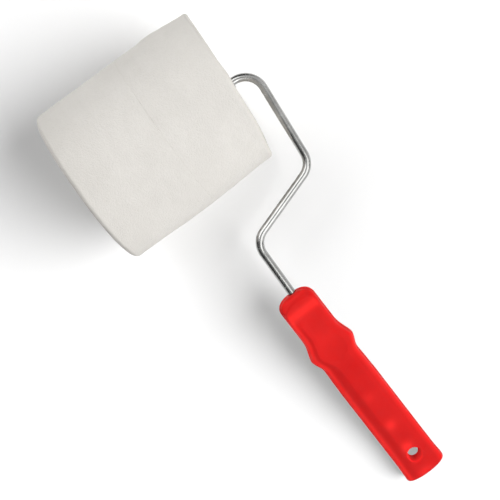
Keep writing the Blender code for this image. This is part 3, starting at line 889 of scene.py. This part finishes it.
def painted_shade(across, distance):
    """Where shade is painted: the +X side wall and nose corner, the -X crease and the tail's edge."""
    half_width = handle_half_width(distance)
    wall = 1.0 - smooth_step(half_width - across, *SIDE_PAINTED_SHADE_INSET) if across > 0.0 else 0.0
    corner = 1.0 - smooth_step(distance, *CORNER_PAINTED_SHADE_FADE)
    corner *= smooth_step(across, *CORNER_PAINTED_SHADE_ACROSS)
    crease = CREASE_PAINTED_SHADE * (1.0 + smooth_step(distance, *CREASE_PAINTED_SHADE_TAIL))
    crease *= smooth_step(distance, *CREASE_PAINTED_SHADE_START)
    crease *= hill(half_width + across, CREASE_PAINTED_SHADE_INSET, CREASE_PAINTED_SHADE_SIZE)
    start, full = (HANDLE_LENGTH - inset for inset in TAIL_PAINTED_SHADE_INSET)
    tail = TAIL_PAINTED_SHADE * smooth_step(distance, start, full)
    return max(SIDE_PAINTED_SHADE * wall, CORNER_PAINTED_SHADE * corner, crease, tail)


def section(half_width, top, bottom):
    """Outline of (across, height) points: a broad flat top with tight edges over a rounder underside."""
    points = []
    for level, powers, direction in ((bottom, BOTTOM_POWERS, 1), (top, TOP_POWERS, -1)):
        for step in range(SECTION_STEPS):
            across = direction * sin(pi / 2 * (2.0 * (step + 0.5) / SECTION_STEPS - 1.0))
            height = (1.0 - abs(across) ** powers[0]) ** (1.0 / powers[1])
            points.append((half_width * across, level * height))
    return points


def tail_bend(across, distance):
    """How far the sides trail behind the middle, so that the tail ends in an arc."""
    share = (across / TAIL_HALF_WIDTH) ** 2
    return END_SAGITTA * smooth_step(distance, END_BEND_START, HANDLE_LENGTH) * share * (0.6 + 0.4 * share)


def handle_loop(distance, inset=0.0):
    half_width = handle_half_width(distance)
    top = handle_top(distance)
    bottom = handle_bottom(distance)
    loop = []
    for across, height in section(half_width - inset, top - inset, bottom + inset):
        level = height
        if height > 0.0:
            raised = grip_swellings(across, distance)
            sunk = thumb_rest(across, distance, half_width) + nose_chamfer(across, distance)
            sunk += flank_step(across, distance, half_width)
            level += (raised - sunk) * min(1.0, height / (RELIEF_FULL_LEVEL * top))
        corner = NOSE_LENGTH * (NOSE_CORNER_RIGHT if across > 0.0 else NOSE_CORNER_LEFT)
        slimmer = nose_share(distance, corner) / nose_share(distance, NOSE_LENGTH)
        loop.append(Vector((across * slimmer, tail_bend(across, distance) - distance, level)))
    return loop


def handle_distances():
    distances = [NOSE_LENGTH * (1.0 - cos(radians(angle))) for angle in NOSE_ANGLES]
    for start, end, steps in LOOP_RUNS:
        distances += spaced(start, end, steps)
    return distances


def add_cutter(name, loops, matrix):
    mesh_data = skin(loops)
    bmesh.ops.recalc_face_normals(mesh_data, faces=mesh_data.faces)
    cutter = new_object(name, mesh_data)
    cutter.matrix_world = matrix
    return cutter


def circle_loop(centre, axis_u, axis_v, radius, steps):
    points = []
    for step in range(steps):
        angle = 2 * pi * (step + 0.5) / steps
        points.append(Vector(centre) + (Vector(axis_u) * cos(angle) + Vector(axis_v) * sin(angle)) * radius)
    return points


def hole_cutter():
    """Hanging hole, a little tapered toward the underside, with a rounded edge at both faces."""
    wide = HOLE_CHAMFER + HOLE_CUTTER_MARGIN
    outside = TAIL_HALF_THICKNESS + 2 * HOLE_CUTTER_MARGIN
    underside = [(-level, HOLE_UNDER_RADIUS + wide) for level in (HOLE_CUTTER_REACH, outside)]
    top_face = [(level, HOLE_RADIUS + wide) for level in (HOLE_CUTTER_REACH, outside)]
    for inward, down in arc((0.0, 0.0), HOLE_CHAMFER, 0, 90, 5):
        level = TAIL_HALF_THICKNESS - HOLE_CHAMFER + inward
        underside.append((-level, HOLE_UNDER_RADIUS + HOLE_CHAMFER - down))
        top_face.append((level, HOLE_RADIUS + HOLE_CHAMFER - down))
    loops = []
    for level, radius in underside + top_face[::-1]:
        loops.append(circle_loop((0.0, -HOLE_DISTANCE, level), (1, 0, 0), (0, 1, 0), radius, HOLE_STEPS))
    return add_cutter("hanging_hole_shape", loops, handle_matrix())


def socket_cutter():
    """Mouth of the socket that the tang goes into, with a small lead-in."""
    mouth_end, bore_start = SOCKET_LEAD_IN
    loops = []
    for reach, radius in (
        (-SOCKET_OVERSHOOT, SOCKET_MOUTH_RADIUS),
        (mouth_end, SOCKET_MOUTH_RADIUS),
        (bore_start, SOCKET_RADIUS),
        (SOCKET_DEPTH, SOCKET_RADIUS),
    ):
        centre = (NECK_CORNER[0], -HANDLE_FRONT[1] - reach, 0.0)
        loops.append(circle_loop(centre, (1, 0, 0), (0, 0, 1), radius, SOCKET_STEPS))
    return add_cutter("tang_socket_shape", loops, plane_matrix())


def cut(piece, cutter):
    modifier = piece.modifiers.new("cut", "BOOLEAN")
    modifier.operation = "DIFFERENCE"
    modifier.solver = "EXACT"
    modifier.object = cutter
    bpy.context.view_layer.update()
    graph = bpy.context.evaluated_depsgraph_get()
    result = bpy.data.meshes.new_from_object(piece.evaluated_get(graph))
    piece.modifiers.clear()
    piece.data = result
    bpy.data.objects.remove(cutter, do_unlink=True)


def mark_bore(handle):
    """Mark the wall of the hanging hole, which is rougher than the outer skin and painted a lighter red as if lit.
    """
    to_handle = handle_matrix().inverted()
    start, end = (HOLE_RADIUS + margin for margin in BORE_WALL)
    rough_lit_bore = handle.data.attributes.new("rough_lit_bore", "FLOAT", "POINT")
    for vertex in handle.data.vertices:
        local = to_handle @ vertex.co
        away = (local.x ** 2 + (local.y + HOLE_DISTANCE) ** 2) ** 0.5
        rough_lit_bore.data[vertex.index].value = 1.0 - smooth_step(away, start, end)


def add_handle(material):
    loops = [handle_loop(distance) for distance in handle_distances()]
    for angle in END_ANGLES:
        inset = EDGE_RADIUS * (1.0 - cos(radians(angle)))
        loops.append(handle_loop(HANDLE_LENGTH - EDGE_RADIUS * (1.0 - sin(radians(angle))), inset))
    mesh_data = skin(loops)
    painted_highlight = mesh_data.verts.layers.float.new("painted_highlight")
    painted_shade_layer = mesh_data.verts.layers.float.new("painted_shade")
    matt = mesh_data.verts.layers.float.new("matt")
    for vertex in mesh_data.verts:
        across, distance, level = vertex.co.x, -vertex.co.y, vertex.co.z
        # Painted highlights and light on the top, and painted shade
        vertex[painted_highlight] = painted_highlight_share(across, distance) if level > 0.0 else 0.0
        vertex[painted_shade_layer] = painted_shade(across, distance + tail_bend(across, distance))
        vertex[matt] = 1.0 - smooth_step(level / handle_top(distance), *MATT_LEVELS)
    bmesh.ops.transform(mesh_data, matrix=handle_matrix(), verts=mesh_data.verts)
    handle = add_piece("handle_moulded", mesh_data, material, "frame", ("handle",), 50)
    cut(handle, socket_cutter())
    cut(handle, hole_cutter())
    mark_bore(handle)
    smooth(handle, 38)
    # Its shadow stays neutral, because the floor gathers no red light from it.
    handle.visible_diffuse = False


# Wire


def rounded_path(corners, bend_radii):
    """A path of straight runs with an arc of the given radius at each inner corner."""
    points = [Vector(corners[0])]
    for index, bend_radius in enumerate(bend_radii, start=1):
        corner = Vector(corners[index])
        toward = (corner - Vector(corners[index - 1])).normalized()
        away = (Vector(corners[index + 1]) - corner).normalized()
        turn = toward.angle(away)
        start = corner - toward * bend_radius * tan(turn / 2)
        across = (away - toward * toward.dot(away)).normalized()
        for step in range(BEND_STEPS + 1):
            angle = turn * step / BEND_STEPS
            along = toward * bend_radius * sin(angle)
            points.append(start + along + across * bend_radius * (1 - cos(angle)))
    points.append(Vector(corners[-1]))
    return points


def even_path(points, spacing):
    """The same path with long straight runs divided."""
    path = [points[0]]
    for point in points[1:]:
        start = path[-1]
        pieces = max(1, int((point - start).length / spacing))
        path += [start.lerp(point, step / pieces) for step in range(1, pieces + 1)]
    return path


def add_wire(material):
    """The bent wire, slightly flattened where it is bent, with a softened end at each tip."""
    tang_tip = (NECK_CORNER[0], HANDLE_FRONT[1] + TANG_DEPTH)
    corners = [(WIRE_TIP_X, 0.0), CRANK_CORNER, ELBOW_CORNER, NECK_CORNER, tang_tip]
    corners = [(across, -reach, 0.0) for across, reach in corners]
    bend_radii = (CRANK_BEND_RADIUS, ELBOW_BEND_RADIUS, ELBOW_BEND_RADIUS)
    path = even_path(rounded_path(corners, bend_radii), WIRE_SPACING)
    matrix = plane_matrix()
    loops = []
    last = len(path) - 1
    for index, centre in enumerate(path):
        before = path[max(index - 1, 0)]
        after = path[min(index + 1, last)]
        bent = min(1.0, (centre - before).angle(after - centre, 0.0) / BEND_FULL_ANGLE)
        side = (after - before).normalized().cross(Vector((0.0, 0.0, 1.0)))
        radius = WIRE_RADIUS - (WIRE_TIP_ROUNDING if index in (0, last) else 0.0)
        wide = radius * (1.0 + BEND_WIDENING * bent)
        flat = radius * (1.0 - BEND_FLATTENING * bent)
        loop = []
        for step in range(WIRE_STEPS):
            angle = 2 * pi * (step + 0.5) / WIRE_STEPS
            loop.append(matrix @ (centre + side * cos(angle) * wide + Vector((0.0, 0.0, flat * sin(angle)))))
        loops.append(loop)
    add_piece("wire_frame_plated", skin(loops), material, "frame", ("wire_frame",))


# Turned hardware


def softened(outline, radius, steps=3):
    """Round every corner of a closed outline a little."""
    points = []
    count = len(outline)
    for index, corner in enumerate(outline):
        here = Vector(corner)
        before = Vector(outline[index - 1]) - here
        after = Vector(outline[(index + 1) % count]) - here
        if here.y <= 0.0 or before.length < 1e-9 or after.length < 1e-9:
            points.append(tuple(here))
            continue
        size = min(radius, 0.4 * before.length, 0.4 * after.length)
        first = here + before.normalized() * size
        last = here + after.normalized() * size
        for step in range(steps + 1):
            share = step / steps
            points.append(tuple(first.lerp(here, share).lerp(here.lerp(last, share), share)))
    return points


def mirrored(outline):
    return [(-x, radius) for x, radius in outline]


def add_turned(node, ending, outline, material, body, side=1):
    """Replace a CAD node by a turned piece, which is mirrored at the free end."""
    outline = outline if side > 0 else mirrored(outline)
    mesh_data = turned(softened(outline, TURNED_ROUNDING), TURNED_STEPS)
    add_piece(node + ending, mesh_data, material, body, (node,), 50)


def plug_outline():
    """A flanged plug with a ring-shaped pocket around its hub, and a recess for the bush in the hub."""
    face = DRIVE_END
    spigot = CORE_RADIUS - PLUG_FLANGE_STEP
    recess = BUSH_FLANGE_RADIUS + GAP
    hub_bore = BUSH_RADIUS + GAP
    hub_face = face - BUSH_RECESS - BUSH_FLANGE - GAP
    return [
        (face - PLUG_DEPTH, hub_bore),
        (face - PLUG_DEPTH, spigot),
        (face - PLUG_FLANGE, spigot),
        (face - PLUG_FLANGE, CORE_RADIUS),
        (face, CORE_RADIUS),
        (face, spigot - PLUG_WALL),
        (face - PLUG_POCKET, spigot - PLUG_WALL),
        (face - PLUG_POCKET, recess + PLUG_WALL),
        (face - GAP, recess + PLUG_WALL),
        (face - GAP, recess),
        (hub_face, recess),
        (hub_face, hub_bore),
    ]


def add_ribs(mesh_data, side):
    """Ribs across a plug's pocket, rounded along their top edges."""
    radii = (BUSH_FLANGE_RADIUS + RIB_INNER_GAP, CORE_RADIUS - RIB_OUTER_INSET)
    foot = DRIVE_END - PLUG_POCKET - RIB_SINK
    crest = DRIVE_END - 2 * PLUG_FLANGE - RIB_CREST_HEIGHT
    outline = [(foot, -RIB_FOOT_HALF_WIDTH), (foot, RIB_FOOT_HALF_WIDTH)]
    outline += [(crest + x, out) for x, out in RIB_CREST]
    for index in range(RIB_COUNT):
        turn = Matrix.Rotation(2 * pi * index / RIB_COUNT, 4, "X")
        rings = []
        for radius in radii:
            points = [turn @ Vector((side * x, out, radius)) + AXLE for x, out in outline]
            rings.append([mesh_data.verts.new(point) for point in points])
            mesh_data.faces.new(rings[-1])
        bridge(mesh_data, *rings)


def add_plugs(plastic):
    for end, side in (("inner", 1), ("outer", -1)):
        outline = plug_outline() if side > 0 else mirrored(plug_outline())
        mesh_data = turned(softened(outline, PLUG_ROUNDING), TURNED_STEPS)
        add_ribs(mesh_data, side)
        name = "end_plug_" + end
        add_piece(name + "_moulded", mesh_data, plastic, "roller", (name,), 50)


def bush_outline():
    """A bearing bush with a flange at its outer end."""
    face = DRIVE_END - BUSH_RECESS
    bore = WIRE_RADIUS + RUNNING_GAP
    return [
        (face - BUSH_LENGTH, bore),
        (face - BUSH_LENGTH, BUSH_RADIUS),
        (face - BUSH_FLANGE, BUSH_RADIUS),
        (face - BUSH_FLANGE, BUSH_FLANGE_RADIUS),
        (face, BUSH_FLANGE_RADIUS),
        (face, bore),
    ]


def ring_outline(start, thickness, outer, bore):
    return [(start, bore), (start, outer), (start + thickness, outer), (start + thickness, bore)]


def cap_outline():
    """Push-on cap: a thin flared rim and a domed cup, drawn toward +X and mirrored for the free end."""
    tip = -CAP_TIP_X
    bore = WIRE_RADIUS + GAP
    shell = bore + CAP_WALL
    cup_floor = -WIRE_TIP_X + GAP
    outline = [(-CAP_RIM_X, bore)]
    outline += [(-CAP_RIM_X + along, radius) for along, radius in CAP_FLARE + ((CAP_FLARE_END, shell),)]
    for along, radius in arc((0.0, shell - CAP_DOME_RADIUS), CAP_DOME_RADIUS, 80, 10, 8):
        outline.append((tip - CAP_DOME_RADIUS + along, radius))
    return outline + [(tip, 0.0), (cup_floor, 0.0), (cup_floor, bore)]


def add_hardware(materials):
    running_bore = WIRE_RADIUS + RUNNING_GAP
    washer = ring_outline(DRIVE_END - BUSH_RECESS + GAP, WASHER_THICKNESS, WASHER_RADIUS, running_bore)
    for end, side in (("inner", 1), ("outer", -1)):
        bush = "bush_" + end
        ring = "thrust_washer_" + end
        add_turned(bush, "_turned", bush_outline(), materials["bronze"], "roller", side)
        add_turned(ring, "_disc", washer, materials["nylon"], "roller", side)
    collar = ring_outline(COLLAR_FACE, COLLAR_THICKNESS, COLLAR_RADIUS, WIRE_RADIUS + COLLAR_GAP)
    add_turned("stop_collar", "_disc", collar, materials["steel"], "frame")
    add_turned("axle_cap", "_pressed", cap_outline(), materials["steel"], "frame", -1)


# Stage


def add_floor():
    """A large white floor just under the lowest point of the model."""
    nodes = Nodes("floor_white", 0.75)
    low, high = FLOOR_TONE - FLOOR_TONE_CHANGE, FLOOR_TONE
    tone = nodes.tones(nodes.noise(3.0, 2.0), 0.3, 0.7, ((low, low, low), (high, high, high)))
    level = min(0.0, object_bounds()[0].z) - FLOOR_GAP
    mesh_data = bmesh.new()
    bmesh.ops.create_grid(mesh_data, x_segments=8, y_segments=8, size=FLOOR_HALF_SIZE)
    floor = new_object("studio_floor", mesh_data)
    floor.data.materials.append(nodes.finish(tone, values={"Specular IOR Level": 0.2}))
    floor.location = (0.0, 0.0, level)


def add_world():
    """A dim studio, a little brighter toward the horizon."""
    world = bpy.data.worlds.new("studio")
    bpy.context.scene.world = world
    world.use_nodes = True
    tree = world.node_tree
    place = tree.nodes.new("ShaderNodeTexCoord")
    split = tree.nodes.new("ShaderNodeSeparateXYZ")
    tree.links.new(place.outputs["Generated"], split.inputs["Vector"])
    ramp = tree.nodes.new("ShaderNodeValToRGB")
    for element, (position, tone) in zip(ramp.color_ramp.elements, (WORLD_HORIZON, WORLD_OVERHEAD)):
        element.position = position
        element.color = (tone, tone, tone, 1.0)
    tree.links.new(split.outputs["Z"], ramp.inputs["Fac"])
    tree.links.new(ramp.outputs["Color"], tree.nodes["Background"].inputs["Color"])


def facing(azimuth, elevation):
    """The turn that points a light down at the model from this side."""
    return (radians(90.0 - elevation), 0.0, radians(azimuth + 90.0))


def add_soft_light(name, azimuth, elevation, spread, strength):
    """A large distant softbox, seen as a disc of the given angular diameter."""
    data = bpy.data.lights.new(name, "SUN")
    data.angle = radians(spread)
    data.energy = strength
    light = bpy.data.objects.new(name, data)
    light.rotation_euler = facing(azimuth, elevation)
    light.visible_glossy = False
    bpy.context.collection.objects.link(light)


def add_card(name, azimuth, elevation, width, height, radiance):
    """A pale card beside the set, seen in glossy surfaces and lighting nothing else."""
    data = bpy.data.lights.new(name, "AREA")
    data.shape = "RECTANGLE"
    data.size = 2 * CARD_DISTANCE * tan(radians(width / 2))
    data.size_y = 2 * CARD_DISTANCE * tan(radians(height / 2))
    data.energy = radiance * pi * data.size * data.size_y
    card = bpy.data.objects.new(name, data)
    turn, rise = radians(azimuth), radians(elevation)
    card.location = Vector((cos(rise) * cos(turn), cos(rise) * sin(turn), sin(rise))) * CARD_DISTANCE
    card.rotation_euler = facing(azimuth, elevation)
    card.visible_diffuse = False
    card.visible_camera = False
    bpy.context.collection.objects.link(card)


def add_lights():
    add_soft_light("softbox_key", *KEY_LIGHT)
    add_soft_light("softbox_fill", *FILL_LIGHT)
    for name, card in CARDS.items():
        add_card(name, *card)


def add_camera():
    """Nearly straight down on the tool, turned so that it lies from upper left to lower right."""
    data = bpy.data.cameras.new("camera")
    data.lens = CAMERA_LENS
    data.sensor_width = CAMERA_SENSOR
    data.clip_start, data.clip_end = CAMERA_CLIP
    camera = bpy.data.objects.new("camera", data)
    camera.location = (AXLE.x + CAMERA_ACROSS, AXLE.y - CAMERA_BACK, CAMERA_HEIGHT)
    turn = Matrix.Rotation(radians(CAMERA_TURN), 4, "Z") @ Matrix.Rotation(radians(CAMERA_TILT), 4, "Y")
    camera.rotation_euler = turn.to_euler()
    bpy.context.collection.objects.link(camera)
    bpy.context.scene.camera = camera


def build():
    materials = {
        "foam": foam_material(),
        "red": red_plastic_material(),
        "steel": steel_material(),
        "plug": plain_plastic_material("plastic_plug", PLUG_TONES, 0.5),
        "core": plain_plastic_material("plastic_core", CORE_TONES, 0.6),
        "nylon": plain_plastic_material("nylon_washer", NYLON_TONES, 0.45),
        "bronze": bronze_material(),
    }
    add_foam("foam_ring_inner", DRIVE_END, materials["foam"])
    add_foam("foam_ring_outer", FREE_END, materials["foam"])
    add_plugs(materials["plug"])
    add_hardware(materials)
    add_wire(materials["steel"])
    add_handle(materials["red"])
    for material_slot in frame["nodes"]["core_tube"].material_slots:
        material_slot.material = materials["core"]
    add_floor()
    add_world()
    add_lights()
    add_camera()
    bpy.context.scene.view_settings.view_transform = "Standard"


build()
